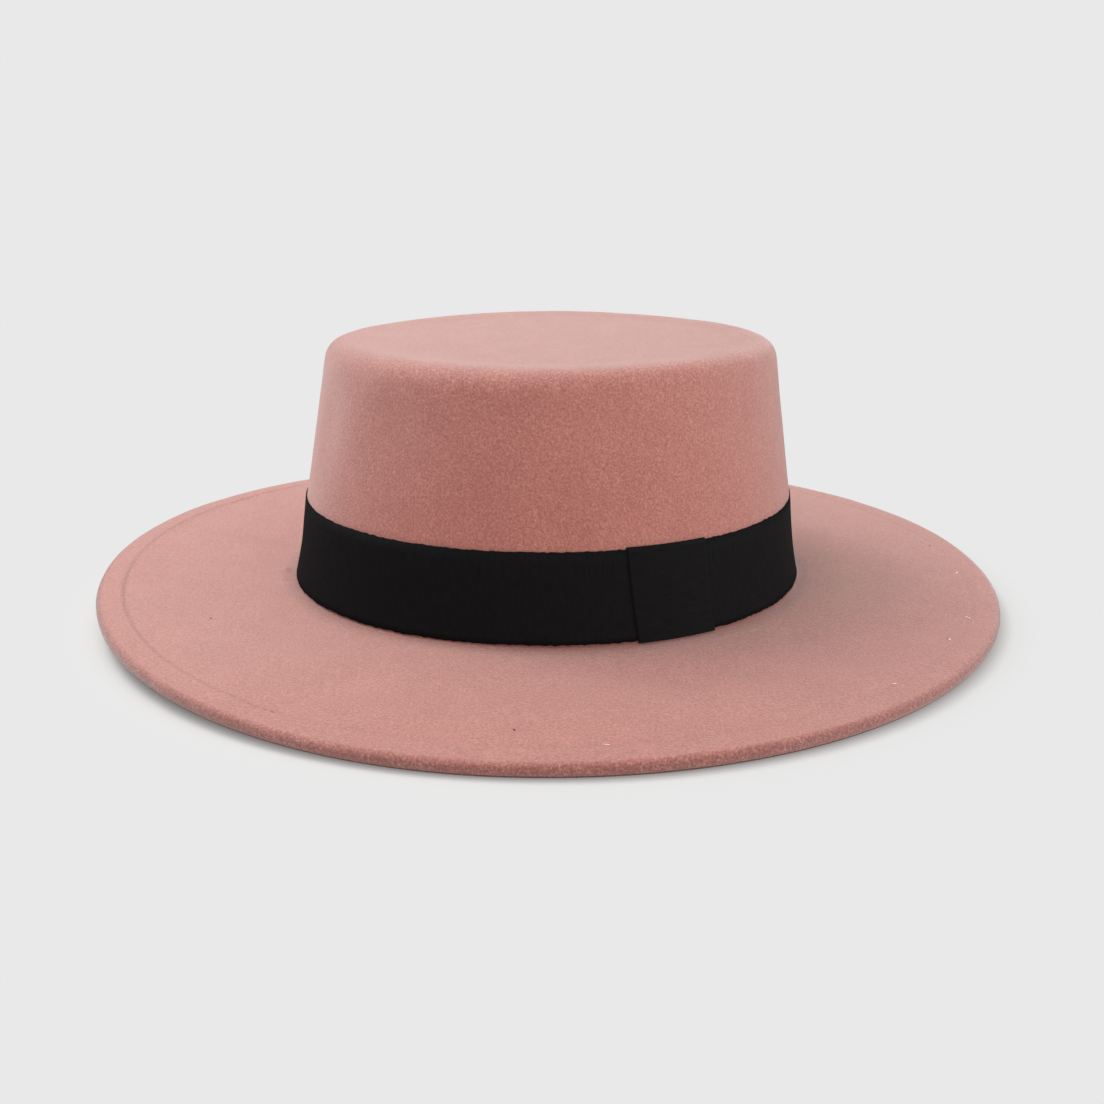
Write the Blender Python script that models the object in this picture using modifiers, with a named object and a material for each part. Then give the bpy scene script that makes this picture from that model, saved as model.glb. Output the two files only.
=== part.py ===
"""Flat-topped felt hat with a wide level brim, a ribbon band and a flat ribbon keeper.

Metres, +Z up. The hat stands on its hem at z = 0, with the middle of its brim over the origin.
Its long axis is X: the front of the hat is at -X and the back at +X. The keeper is on the -Y side.
Angles go round the hat from the back (+X), anticlockwise from above.
"""

import math
from collections import namedtuple

import bmesh
import bpy

MM = 0.001

# Felt
FELT_THICKNESS = 2.2 * MM
HAT_HEIGHT = 99.4 * MM

# Crown: the outer face at the foot, at the ribbon's upper edge (the waist) and at the tip
FOOT_HEIGHT = 7.0 * MM          # upper face of the brim where it meets the crown
FOOT_LENGTH = 198.4 * MM
FOOT_WIDTH = 169.7 * MM
FOOT_FULLNESS = 2.07            # 2 is an ellipse, more is squarer and less is more pointed
FOOT_BACKSET = -0.6 * MM        # how far the oval's middle lies towards the back of the hat
WAIST_LENGTH = 190.1 * MM
WAIST_WIDTH = 162.8 * MM
WAIST_FULLNESS = 2.05
WAIST_BACKSET = 0.2 * MM
TIP_LENGTH = 170.5 * MM
TIP_WIDTH = 146.1 * MM
TIP_FULLNESS = 1.84
TIP_BACKSET = 1.6 * MM
SHOULDER_RADIUS = 7.8 * MM
COVE_RADIUS = 4.0 * MM
TIP_DISH = 0.6 * MM             # how far the middle of the tip lies below its rim
TIP_RIM = 12.0 * MM             # width of the slope between the rim and the flat middle

# Brim
BRIM_WIDTH = 76.2 * MM          # from the crown's foot to the outer edge
BRIM_FULLNESS = 2.03
BRIM_CURL = 1.5                 # 1 is a straight slope, more keeps the brim level near the crown
FRONT_LIFT = 7.7 * MM           # height of the hem over the surface at the hat's front
BACK_LIFT = 1.5 * MM            # and at its back

# Hem: the edge is folded under and stitched down
HEM_GAP = 0.8 * MM              # air between the two layers
HEM_DEPTH = 12.5 * MM           # how far the folded layer reaches in from the edge
STITCH_INSET = 10.0 * MM        # from the edge to the line of stitches
STITCH_GROOVE_WIDTH = 3.0 * MM
STITCH_GROOVE_DEPTH = 0.5 * MM

# Ribbon band
RIBBON_THICKNESS = 1.0 * MM
RIBBON_HEIGHT = 32.0 * MM
RIBBON_RISE = 1.4 * MM          # from the brim to the ribbon's lower edge
RIBBON_BITE = 0.5 * MM          # how far the tight ribbon presses into the felt
BITE_RECOVERY = 2.5 * MM        # height over which the felt swells out again above the ribbon
CLEARANCE = 0.3 * MM            # air between two pieces that touch

# Keeper
KEEPER_LEFT_ANGLE = -69.5       # degrees
KEEPER_RIGHT_ANGLE = -51.7
KEEPER_LOW_OVERSTEP = 0.4 * MM  # how far it hangs below the ribbon

# Facets
SEGMENTS = 64
SHOULDER_STEPS = 4
COVE_ANGLES = (0.0, 30.0, 60.0, 90.0)
WALL_STEPS = 4
RIBBON_STEPS = 3
BRIM_STEPS = 5
FOLD_STEPS = 5
KEEPER_STEPS = 6

# Soft dents in the crown above the ribbon. The place and the spread in height are shares of the
# wall between the ribbon and the shoulder, and the depth is a share of the felt's thickness.
DENT_FADE = 0.25                # share of that wall over which the dents grow above the ribbon
Dent = namedtuple("Dent", "angle_deg place spread_deg spread depth")
SOFT_DENTS = (
    Dent(angle_deg=-151.0, place=0.60, spread_deg=8.0, spread=0.35, depth=0.30),
    Dent(angle_deg=-125.0, place=0.72, spread_deg=9.0, spread=0.28, depth=0.35),
)

RIBBON_BOTTOM = FOOT_HEIGHT + RIBBON_RISE
RIBBON_TOP = RIBBON_BOTTOM + RIBBON_HEIGHT
FOLD_RADIUS = FELT_THICKNESS + HEM_GAP / 2
HEM_HEIGHT = 2 * FOLD_RADIUS

Oval = namedtuple("Oval", "height length width fullness backset")
CROWN_OVALS = (
    Oval(FOOT_HEIGHT, FOOT_LENGTH, FOOT_WIDTH, FOOT_FULLNESS, FOOT_BACKSET),
    Oval(RIBBON_TOP, WAIST_LENGTH, WAIST_WIDTH, WAIST_FULLNESS, WAIST_BACKSET),
    Oval(HAT_HEIGHT, TIP_LENGTH, TIP_WIDTH, TIP_FULLNESS, TIP_BACKSET),
)


def between(low, high, share):
    return low + (high - low) * share


def crown_oval(height):
    """The crown's outer oval at a height, before the shoulder and the cove are rounded."""
    for lower, upper in zip(CROWN_OVALS, CROWN_OVALS[1:]):
        if height <= upper.height:
            break
    share = (height - lower.height) / (upper.height - lower.height)
    return Oval(*(between(a, b, share) for a, b in zip(lower, upper)))


def cove_outset(height):
    """How far the rounded inner corner stands out of the wall at a height."""
    drop = FOOT_HEIGHT + COVE_RADIUS - height
    if drop <= 0:
        return 0.0
    return COVE_RADIUS - math.sqrt(max(COVE_RADIUS ** 2 - drop ** 2, 0.0))


def ribbon_bite(height):
    """How far the ribbon presses the wall in at a height."""
    recovery = (RIBBON_TOP + BITE_RECOVERY - height) / BITE_RECOVERY
    return RIBBON_BITE * min(max(recovery, 0.0), 1.0)


def oval_point(oval, outset, angle):
    """A point on an oval grown by an outset."""
    cosine, sine = math.cos(angle), math.sin(angle)
    reach = (abs(cosine) ** oval.fullness + abs(sine) ** oval.fullness) ** (-1 / oval.fullness)
    x = (oval.length / 2 + outset) * reach * cosine + oval.backset
    y = (oval.width / 2 + outset) * reach * sine
    return x, y


def end_lift(angle):
    """Height of the hem's underside: it rests at both sides and rises to the front and back."""
    end = FRONT_LIFT if math.cos(angle) < 0 else BACK_LIFT
    return end * math.cos(angle) ** 2


def dent_depth(angle, height):
    """How deep the soft dents press the crown's wall at a place."""
    low = RIBBON_TOP + BITE_RECOVERY
    high = HAT_HEIGHT - SHOULDER_RADIUS
    place = (height - low) / (high - low)
    if place <= 0 or place > 1:
        return 0.0
    depth = 0.0
    for dent in SOFT_DENTS:
        turn = math.degrees(angle) - dent.angle_deg
        turn = (turn + 180) % 360 - 180
        across = turn / dent.spread_deg
        along = (place - dent.place) / dent.spread
        depth += dent.depth * FELT_THICKNESS * math.exp(-(across ** 2) - along ** 2)
    return depth * min(1.0, place / DENT_FADE)


def loft_rings(mesh, places):
    """A sheet through a row of rings: each place(angle) gives the points of one ring."""
    own_angle = mesh.verts.layers.float.new("angle")
    ring = bmesh.ops.create_circle(mesh, segments=SEGMENTS, radius=1.0)["verts"]
    for number, vertex in enumerate(ring):
        vertex[own_angle] = 2 * math.pi * number / SEGMENTS
    edges = mesh.edges[:]
    for number, place in enumerate(places):
        if number > 0:
            grown = bmesh.ops.extrude_edge_only(mesh, edges=edges)["geom"]
            ring = [item for item in grown if isinstance(item, bmesh.types.BMVert)]
            edges = [item for item in grown if isinstance(item, bmesh.types.BMEdge) and item.is_boundary]
        for vertex in ring:
            vertex.co = place(vertex[own_angle])


def finish_mesh(mesh, name, material, outward_face):
    """Turns the sheet's faces outwards, writes the mesh and returns its object."""
    bmesh.ops.recalc_face_normals(mesh, faces=mesh.faces[:])
    mesh.faces.ensure_lookup_table()
    if not outward_face(mesh):
        bmesh.ops.reverse_faces(mesh, faces=mesh.faces[:])
    data = bpy.data.meshes.new(name)
    mesh.to_mesh(data)
    mesh.free()
    data.shade_smooth()
    data.materials.append(material)
    return bpy.data.objects.new(name, data)


def thicken(piece, thickness, offset):
    """Gives a sheet its wall; an offset of -1 puts it behind the sheet and 1 in front."""
    wall = piece.modifiers.new("wall", "SOLIDIFY")
    wall.thickness = thickness
    wall.offset = offset
    wall.use_even_offset = True
    wall.use_rim = True


def wall_ring(height, outset=0.0):
    """Places a ring on the crown's outer face, with its cove, its dents and the ribbon's bite."""
    oval = crown_oval(height)
    wall = outset + cove_outset(height) - ribbon_bite(height)

    def place(angle):
        x, y = oval_point(oval, wall - dent_depth(angle, height), angle)
        return x, y, height

    return place


def shoulder_ring(turn):
    """Places a ring on the rounded shoulder; the turn goes from the wall, 0, to the tip, 90."""
    height = HAT_HEIGHT - SHOULDER_RADIUS * (1 - math.sin(math.radians(turn)))
    inset = SHOULDER_RADIUS * (1 - math.cos(math.radians(turn)))
    return wall_ring(height, -inset)


def tip_ring(inset, height):
    """Places a ring on the tip, an inset in from the corner of the crown."""
    oval = CROWN_OVALS[-1]

    def place(angle):
        x, y = oval_point(oval, -inset, angle)
        return x, y, height

    return place


def brim_oval(share):
    """The crown's foot at share 0, changing to the brim's own shape at its edge at share 1."""
    foot = CROWN_OVALS[0]
    return foot._replace(
        fullness=between(foot.fullness, BRIM_FULLNESS, share),
        backset=between(foot.backset, 0.0, share),
    )


def brim_ring(outset, above_hem=None):
    """Places a ring on the brim, an outset away from the crown's foot.

    Without above_hem it lies on the brim's upper face; with it, that far above the hem's underside.
    """
    hem_start = BRIM_WIDTH - STITCH_INSET
    slope_share = (outset - COVE_RADIUS) / (hem_start - COVE_RADIUS)
    slope_share = min(max(slope_share, 0.0), 1.0) ** BRIM_CURL
    oval = brim_oval(outset / BRIM_WIDTH)

    def place(angle):
        x, y = oval_point(oval, outset, angle)
        if above_hem is None:
            height = between(FOOT_HEIGHT, HEM_HEIGHT + end_lift(angle), slope_share)
        else:
            height = above_hem + end_lift(angle)
        return x, y, height

    return place


def crown_places():
    """Rings from the middle of the tip down to the foot of the crown."""
    rim = SHOULDER_RADIUS
    yield tip_ring(rim + TIP_RIM, HAT_HEIGHT - TIP_DISH)
    for step in range(SHOULDER_STEPS, -1, -1):
        yield shoulder_ring(90.0 * step / SHOULDER_STEPS)
    wall_top = HAT_HEIGHT - SHOULDER_RADIUS
    wall_bottom = RIBBON_TOP + BITE_RECOVERY
    for step in range(1, WALL_STEPS + 1):
        yield wall_ring(between(wall_top, wall_bottom, step / WALL_STEPS))
    for height in ribbon_heights():
        yield wall_ring(height)
    for turn in COVE_ANGLES:
        height = FOOT_HEIGHT + COVE_RADIUS * (1 - math.sin(math.radians(turn)))
        if height < RIBBON_BOTTOM:
            yield wall_ring(height)


def ribbon_heights():
    """Heights of the rings that the felt and the ribbon share, from the top down."""
    cove_top = FOOT_HEIGHT + COVE_RADIUS
    heights = [between(RIBBON_TOP, cove_top, step / RIBBON_STEPS) for step in range(RIBBON_STEPS)]
    for turn in COVE_ANGLES:
        height = FOOT_HEIGHT + COVE_RADIUS * (1 - math.sin(math.radians(turn)))
        if height > RIBBON_BOTTOM:
            heights.append(height)
    heights.append(RIBBON_BOTTOM)
    return heights


def brim_places():
    """Rings from the foot of the crown out over the brim, round the fold and back under it."""
    stitch = BRIM_WIDTH - STITCH_INSET
    groove_start = stitch - STITCH_GROOVE_WIDTH / 2
    for step in range(1, BRIM_STEPS + 1):
        yield brim_ring(between(COVE_RADIUS - RIBBON_BITE, groove_start, step / BRIM_STEPS))
    yield brim_ring(stitch, HEM_HEIGHT - STITCH_GROOVE_DEPTH)
    yield brim_ring(stitch + STITCH_GROOVE_WIDTH / 2, HEM_HEIGHT)
    fold_middle = BRIM_WIDTH - FOLD_RADIUS
    for step in range(FOLD_STEPS + 1):
        turn = math.radians(90 - 180 * step / FOLD_STEPS)
        yield brim_ring(fold_middle + FOLD_RADIUS * math.cos(turn), FOLD_RADIUS * (1 + math.sin(turn)))
    yield brim_ring(BRIM_WIDTH - HEM_DEPTH, 0.0)


def make_felt_body(material):
    """Crown, brim and turned-under hem in one sheet of felt."""
    mesh = bmesh.new()
    loft_rings(mesh, [*crown_places(), *brim_places()])
    tip_edges = mesh.edges[:SEGMENTS]
    tip_face = bmesh.ops.contextual_create(mesh, geom=tip_edges)["faces"][0]
    tip_face.smooth = False
    middle = tip_face.calc_center_median()

    def faces_up(sheet):
        tip = min(sheet.faces, key=lambda face: (face.calc_center_median() - middle).length)
        return tip.normal.z > 0

    body = finish_mesh(mesh, "felt_body", material, faces_up)
    thicken(body, FELT_THICKNESS, -1)
    return body


def make_hat_band(material):
    """Ribbon round the foot of the crown, following its wall and the top of the cove."""
    mesh = bmesh.new()
    loft_rings(mesh, [wall_ring(height, CLEARANCE) for height in ribbon_heights()])

    def faces_out(sheet):
        face = sheet.faces[0]
        return face.normal.dot(face.calc_center_median()) > 0

    band = finish_mesh(mesh, "hat_band", material, faces_out)
    thicken(band, RIBBON_THICKNESS, 1)
    return band


def make_band_keeper(material):
    """Flat loop of ribbon over the band's join, turned in over the band's upper edge."""
    over_band = CLEARANCE + RIBBON_THICKNESS + CLEARANCE
    places = [(RIBBON_TOP + CLEARANCE, 2 * CLEARANCE)]
    places.append((RIBBON_TOP + CLEARANCE, over_band))
    places += [(height, over_band) for height in ribbon_heights()[1:-1]]
    places.append((RIBBON_BOTTOM - KEEPER_LOW_OVERSTEP, over_band))
    mesh = bmesh.new()
    last_row = len(places) - 1
    grid = bmesh.ops.create_grid(mesh, x_segments=KEEPER_STEPS, y_segments=last_row, size=0.5)
    for vertex in grid["verts"]:
        height, outset = places[round((vertex.co.y + 0.5) * last_row)]
        angle = math.radians(between(KEEPER_LEFT_ANGLE, KEEPER_RIGHT_ANGLE, vertex.co.x + 0.5))
        vertex.co = wall_ring(height, outset)(angle)

    def faces_out(sheet):
        lowest = min(sheet.faces, key=lambda face: face.calc_center_median().z)
        return lowest.normal.dot(lowest.calc_center_median()) > 0

    keeper = finish_mesh(mesh, "band_keeper", material, faces_out)
    thicken(keeper, RIBBON_THICKNESS, 1)
    return keeper


def make_material(name, color, roughness):
    material = bpy.data.materials.new(name)
    material.use_nodes = True
    shader = material.node_tree.nodes["Principled BSDF"]
    shader.inputs["Base Color"].default_value = (*color, 1.0)
    shader.inputs["Roughness"].default_value = roughness
    shader.inputs["Metallic"].default_value = 0.0
    return material


def clear_scene():
    for item in list(bpy.data.objects):
        bpy.data.objects.remove(item, do_unlink=True)


def main():
    clear_scene()
    felt = make_material("wool_felt", (0.59, 0.30, 0.26), 0.95)
    ribbon = make_material("grosgrain", (0.012, 0.012, 0.013), 0.7)
    collection = bpy.data.collections.new("spanish_hat")
    bpy.context.scene.collection.children.link(collection)
    for piece in (make_felt_body(felt), make_hat_band(ribbon), make_band_keeper(ribbon)):
        collection.objects.link(piece)


main()
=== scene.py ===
"""Looks of the flat-topped felt hat: rosy wool felt, a black grosgrain band and its flat keeper.

Metres, +Z up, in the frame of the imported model. The front of the hat is at -X, the keeper at -Y.
Angles go round the hat from the back (+X), anticlockwise from above.
"""

import math
from collections import namedtuple

import bmesh
import bpy
import numpy as np
from mathutils import Matrix, Vector, noise


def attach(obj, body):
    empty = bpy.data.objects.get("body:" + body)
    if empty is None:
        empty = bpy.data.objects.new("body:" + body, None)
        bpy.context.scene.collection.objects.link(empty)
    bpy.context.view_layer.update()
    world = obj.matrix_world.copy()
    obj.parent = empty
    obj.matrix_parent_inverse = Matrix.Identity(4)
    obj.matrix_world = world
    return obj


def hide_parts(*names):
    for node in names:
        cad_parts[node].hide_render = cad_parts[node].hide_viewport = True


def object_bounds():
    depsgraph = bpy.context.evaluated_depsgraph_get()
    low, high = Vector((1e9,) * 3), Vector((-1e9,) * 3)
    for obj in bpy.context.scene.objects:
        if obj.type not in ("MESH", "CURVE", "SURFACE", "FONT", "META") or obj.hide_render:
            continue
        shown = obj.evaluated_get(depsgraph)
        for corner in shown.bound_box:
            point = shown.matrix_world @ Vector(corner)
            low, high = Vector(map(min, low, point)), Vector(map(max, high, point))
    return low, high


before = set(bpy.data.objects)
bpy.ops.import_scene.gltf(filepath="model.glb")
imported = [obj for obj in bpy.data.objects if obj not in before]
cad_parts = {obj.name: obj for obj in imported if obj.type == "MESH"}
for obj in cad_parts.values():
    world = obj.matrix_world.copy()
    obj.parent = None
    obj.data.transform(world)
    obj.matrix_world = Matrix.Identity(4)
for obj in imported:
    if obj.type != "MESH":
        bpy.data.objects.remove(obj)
CAD_BOX = [list(corner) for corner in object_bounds()]

MM = 0.001

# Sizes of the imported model
FELT_THICKNESS = 2.2 * MM
HAT_HEIGHT = 99.4 * MM
FOOT_HEIGHT = 7.0 * MM
SHOULDER_RADIUS = 7.8 * MM
COVE_RADIUS = 4.0 * MM
TIP_DISH = 0.6 * MM
TIP_RIM = 12.0 * MM
BRIM_WIDTH = 76.2 * MM
BRIM_FULLNESS = 2.03
BRIM_CURL = 1.5
FRONT_LIFT = 7.7 * MM
BACK_LIFT = 1.5 * MM
HEM_GAP = 0.8 * MM
HEM_DEPTH = 12.5 * MM
STITCH_INSET = 10.0 * MM
STITCH_GROOVE_WIDTH = 3.0 * MM
STITCH_GROOVE_DEPTH = 0.5 * MM
RIBBON_HEIGHT = 32.0 * MM
RIBBON_RISE = 1.4 * MM
RIBBON_BITE = 0.5 * MM

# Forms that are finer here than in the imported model
SHOULDER_FULLNESS = 2.4         # 2 is round
BITE_DEPTH = 1.5 * MM
GROOVE_SHOWS_FROM = 0.375       # share of the way from the hat's middle to its front
GROOVE_STEAMED = 0.06           # share of the groove's depth that is left elsewhere
GROOVE_AT_FRONT = 0.7
# The groove is darkened with painted shade, faintly where it is steamed and most at the front
GROOVE_SHADE_STEAMED = 0.08           # and how dark it is
GROOVE_SHADE_AT_FRONT = 0.4

# How far the nap stands up, and how much painted shade darkens the felt's creases and its hem, from 0 to
# 1
TIP_NAP = 0.33
BITE_PAINTED_SHADE = 0.9
FOOT_PAINTED_SHADE = 0.4
PAINTED_SHADE_FADE = 0.2               # for each ring of the brim
HEM_PAINTED_SHADE = 0.48
HEM_LOW_PAINTED_SHADE = 1.0
HEM_SHADE_TURN = math.radians(-35)

# Clearances and heights of the ribbons
CLEARANCE = 0.3 * MM
KEEPER_LOW_OVERSTEP = 0.4 * MM
RIBBON_BOTTOM = FOOT_HEIGHT + RIBBON_RISE
RIBBON_TOP = RIBBON_BOTTOM + RIBBON_HEIGHT
FOLD_RADIUS = FELT_THICKNESS + HEM_GAP / 2
HEM_HEIGHT = 2 * FOLD_RADIUS

Oval = namedtuple("Oval", "height length width fullness backset")
CROWN_OVALS = (
    Oval(FOOT_HEIGHT, 198.4 * MM, 169.7 * MM, 2.07, -0.6 * MM),
    Oval(RIBBON_TOP, 190.1 * MM, 162.8 * MM, 2.05, 0.2 * MM),
    Oval(HAT_HEIGHT, 170.5 * MM, 146.1 * MM, 1.84, 1.6 * MM),
)

# Soft dents: angle, share of the wall's height, spreads in degrees and share, depth
Dent = namedtuple("Dent", "angle_deg place spread_deg spread depth")
SOFT_DENTS = (
    Dent(angle_deg=-151.0, place=0.60, spread_deg=8.0, spread=0.35, depth=0.95 * MM),
    Dent(angle_deg=-125.0, place=0.72, spread_deg=9.0, spread=0.28, depth=1.05 * MM),
    Dent(angle_deg=-95.0, place=0.86, spread_deg=10.0, spread=0.12, depth=0.25 * MM),
)
DENT_FADE = 1 / 4               # share of the wall over which the dents grow above the ribbon
DENT_FADE_ABOVE = 1 / 6         # and over which they end below the shoulder

# Small puckers of the brim beside the ribbon: angle, distance from the foot, width and height
Pucker = namedtuple("Pucker", "angle_deg outset width height")
PUCKERS = (
    Pucker(angle_deg=-171.0, outset=5.0 * MM, width=2.6 * MM, height=1.3 * MM),
    Pucker(angle_deg=-164.0, outset=5.0 * MM, width=2.6 * MM, height=-0.9 * MM),
)

# Steps of the finer visual skin
SEGMENTS = 384
TIP_RING_SHARES = (0.12, 0.3, 0.5, 0.7, 0.85)
RIM_STEPS = 6
SHOULDER_STEPS = 10
WALL_STEPS = 18
BITE_STEPS = 3
RIBBON_STEPS = 8
COVE_STEPS = 8
BRIM_STEPS = 30
GROOVE_STEPS = 8
FOLD_STEPS = 14
FLAP_STEPS = 5
FINE_STEPS = 2000               # for lengths measured along a curve


def between(low, high, share):
    return low + (high - low) * share


def clamp(value, low=0.0, high=1.0):
    return min(max(value, low), high)


def degrees_from(angle, middle_deg):
    """How far an angle lies from a middle one, in degrees, the short way round."""
    return (math.degrees(angle) - middle_deg + 180) % 360 - 180


def crown_oval(height):
    """The crown's outer oval at a height, before the shoulder and the cove are rounded."""
    for lower, upper in zip(CROWN_OVALS, CROWN_OVALS[1:]):
        if height <= upper.height:
            break
    share = (height - lower.height) / (upper.height - lower.height)
    return Oval(*(between(a, b, share) for a, b in zip(lower, upper)))


def cove_outset(height):
    drop = FOOT_HEIGHT + COVE_RADIUS - height
    if drop <= 0:
        return 0.0
    return COVE_RADIUS - math.sqrt(max(COVE_RADIUS ** 2 - drop ** 2, 0.0))


def ribbon_bite(height):
    """The tight ribbon presses the felt in, from a little below the ribbon's upper edge."""
    return RIBBON_BITE * clamp((RIBBON_TOP - height) / BITE_DEPTH)


def oval_point(oval, outset, angle):
    cosine, sine = math.cos(angle), math.sin(angle)
    reach = (abs(cosine) ** oval.fullness + abs(sine) ** oval.fullness) ** (-1 / oval.fullness)
    x = (oval.length / 2 + outset) * reach * cosine + oval.backset
    y = (oval.width / 2 + outset) * reach * sine
    return x, y


def end_lift(angle):
    end = FRONT_LIFT if math.cos(angle) < 0 else BACK_LIFT
    return end * math.cos(angle) ** 2


def dent_depth(angle, height):
    low = RIBBON_TOP
    high = HAT_HEIGHT - SHOULDER_RADIUS
    place = (height - low) / (high - low)
    if place <= 0 or place > 1:
        return 0.0
    depth = 0.0
    for dent in SOFT_DENTS:
        around = degrees_from(angle, dent.angle_deg) / dent.spread_deg
        upwards = (place - dent.place) / dent.spread
        depth += dent.depth * math.exp(-around ** 2 - upwards ** 2)
    return depth * clamp(place / DENT_FADE) * clamp((1 - place) / DENT_FADE_ABOVE)


def wall_place(angle, height, outset=0.0, bite=None):
    """A point on the crown's outer face; the ribbons keep one bite over their whole height."""
    oval = crown_oval(height)
    bite = ribbon_bite(height) if bite is None else bite
    wall = outset + cove_outset(height) - bite - dent_depth(angle, height)
    x, y = oval_point(oval, wall, angle)
    return x, y, height


def wall_ring(height, outset=0.0):
    return lambda angle: wall_place(angle, height, outset)


def shoulder_ring(turn):
    """The blocked shoulder turns a little harder in its middle than a round one."""
    rise = math.sin(turn) ** (2 / SHOULDER_FULLNESS)
    reach = math.cos(turn) ** (2 / SHOULDER_FULLNESS) if turn < math.pi / 2 else 0.0
    height = HAT_HEIGHT - SHOULDER_RADIUS * (1 - rise)
    return wall_ring(height, -SHOULDER_RADIUS * (1 - reach))


def tip_ring(inset, height):
    return lambda angle: (*oval_point(CROWN_OVALS[-1], -inset, angle), height)


def pucker_height(angle, outset):
    height = 0.0
    for pucker in PUCKERS:
        turn = math.radians(degrees_from(angle, pucker.angle_deg))
        along = turn * CROWN_OVALS[0].length / 2
        away = math.hypot(along, outset - pucker.outset) / pucker.width
        height += pucker.height * math.exp(-away * away)
    return height


def brim_place(angle, outset, above_hem=None):
    """A point on the brim's upper face, or that far above the hem's underside."""
    slope_share = (outset - COVE_RADIUS) / (BRIM_WIDTH - STITCH_INSET - COVE_RADIUS)
    slope_share = clamp(slope_share) ** BRIM_CURL
    share = outset / BRIM_WIDTH
    foot = CROWN_OVALS[0]
    oval = foot._replace(
        fullness=between(foot.fullness, BRIM_FULLNESS, share),
        backset=between(foot.backset, 0.0, share),
    )
    x, y = oval_point(oval, outset, angle)
    if above_hem is None:
        height = between(FOOT_HEIGHT, HEM_HEIGHT + end_lift(angle), slope_share)
        return x, y, height + pucker_height(angle, outset)
    return x, y, above_hem + end_lift(angle)


def brim_ring(outset, above_hem=None):
    return lambda angle: brim_place(angle, outset, above_hem)


def groove_share(angle):
    """The stitched groove shows at the front of the hat and is steamed almost flat elsewhere."""
    return clamp((-math.cos(angle) - GROOVE_SHOWS_FROM) / (1 - GROOVE_SHOWS_FROM))


def groove_depth(angle):
    return STITCH_GROOVE_DEPTH * between(GROOVE_STEAMED, GROOVE_AT_FRONT, groove_share(angle))


def groove_ring(outset, dip):
    return lambda angle: brim_place(angle, outset, HEM_HEIGHT - groove_depth(angle) * dip)


# Painted shade in the stitched groove, darkest where it dips deepest and at the front
def groove_shade_amount(dip):
    return lambda angle: dip * between(GROOVE_SHADE_STEAMED, GROOVE_SHADE_AT_FRONT, groove_share(angle))


def hem_shade_amount(turn):
    """The hem's edge is darkened with painted shade, a little on its outer face and most on its lower
    half.
    """
    return HEM_PAINTED_SHADE * math.cos(turn) + HEM_LOW_PAINTED_SHADE * max(-math.sin(turn), 0.0)


# A ring's crease is how much painted shade darkens the felt there
Ring = namedtuple("Ring", "place crease nap underside", defaults=(0.0, 0.0, False))


def felt_rings():
    """Rings of the felt sheet from the tip's middle out to the edge and back under the hem.

    Each says how much painted shade darkens it in a crease, in the groove or on the hem, how far its nap
    stands up and whether it faces down.
    """
    rings = []
    for share in TIP_RING_SHARES:
        inset = between(CROWN_OVALS[-1].width / 2, SHOULDER_RADIUS + TIP_RIM, share)
        rings.append(Ring(tip_ring(inset, HAT_HEIGHT - TIP_DISH), nap=TIP_NAP))
    for step in range(RIM_STEPS):
        slope = step / RIM_STEPS
        inset = SHOULDER_RADIUS + TIP_RIM * (1 - slope)
        height = HAT_HEIGHT - TIP_DISH * (1 - slope * slope * (3 - 2 * slope))
        rings.append(Ring(tip_ring(inset, height), nap=TIP_NAP))
    for step in range(SHOULDER_STEPS, -1, -1):
        turn = math.pi / 2 * step / SHOULDER_STEPS
        rings.append(Ring(shoulder_ring(turn), nap=TIP_NAP * math.sin(turn)))
    wall_top = HAT_HEIGHT - SHOULDER_RADIUS
    for step in range(1, WALL_STEPS + 1):
        rings.append(Ring(wall_ring(between(wall_top, RIBBON_TOP, step / WALL_STEPS))))
    for step in range(1, BITE_STEPS + 1):
        height = RIBBON_TOP - BITE_DEPTH * step / BITE_STEPS
        rings.append(Ring(wall_ring(height), crease=BITE_PAINTED_SHADE * step / BITE_STEPS))
    cove_top = FOOT_HEIGHT + COVE_RADIUS
    # Under the ribbon and in the cove the felt is darkened with painted shade
    for step in range(1, RIBBON_STEPS + 1):
        height = between(RIBBON_TOP - BITE_DEPTH, cove_top, step / RIBBON_STEPS)
        rings.append(Ring(wall_ring(height), crease=1.0))
    for step in range(1, COVE_STEPS + 1):
        turn = math.pi / 2 * step / COVE_STEPS
        height = FOOT_HEIGHT + COVE_RADIUS * (1 - math.sin(turn))
        rings.append(Ring(wall_ring(height), crease=between(1.0, FOOT_PAINTED_SHADE, step / COVE_STEPS)))
    stitch = BRIM_WIDTH - STITCH_INSET
    groove_half = STITCH_GROOVE_WIDTH / 2
    # Painted shade at the brim's foot fades out over its first rings
    for step in range(1, BRIM_STEPS + 1):
        outset = between(COVE_RADIUS - RIBBON_BITE, stitch - groove_half, step / BRIM_STEPS)
        rings.append(Ring(brim_ring(outset), crease=clamp(FOOT_PAINTED_SHADE - PAINTED_SHADE_FADE * step)))
    for step in range(1, GROOVE_STEPS + 1):
        across = 2 * step / GROOVE_STEPS - 1
        dip = 0.5 + 0.5 * math.cos(math.pi * across)
        rings.append(Ring(groove_ring(stitch + groove_half * across, dip), crease=groove_shade_amount(dip)))
    fold_middle = BRIM_WIDTH - FOLD_RADIUS
    for step in range(FOLD_STEPS + 1):
        turn = math.radians(90 - 180 * step / FOLD_STEPS)
        place = brim_ring(fold_middle + FOLD_RADIUS * math.cos(turn), FOLD_RADIUS * (1 + math.sin(turn)))
        rings.append(Ring(place, hem_shade_amount(turn), math.cos(turn), turn < HEM_SHADE_TURN))
    # The flap under the hem gets full painted shade and the shaded underside felt
    for step in range(1, FLAP_STEPS + 1):
        outset = between(fold_middle, BRIM_WIDTH - HEM_DEPTH, step / FLAP_STEPS)
        rings.append(Ring(brim_ring(outset, 0.0), crease=HEM_LOW_PAINTED_SHADE, underside=True))
    return rings


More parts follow.
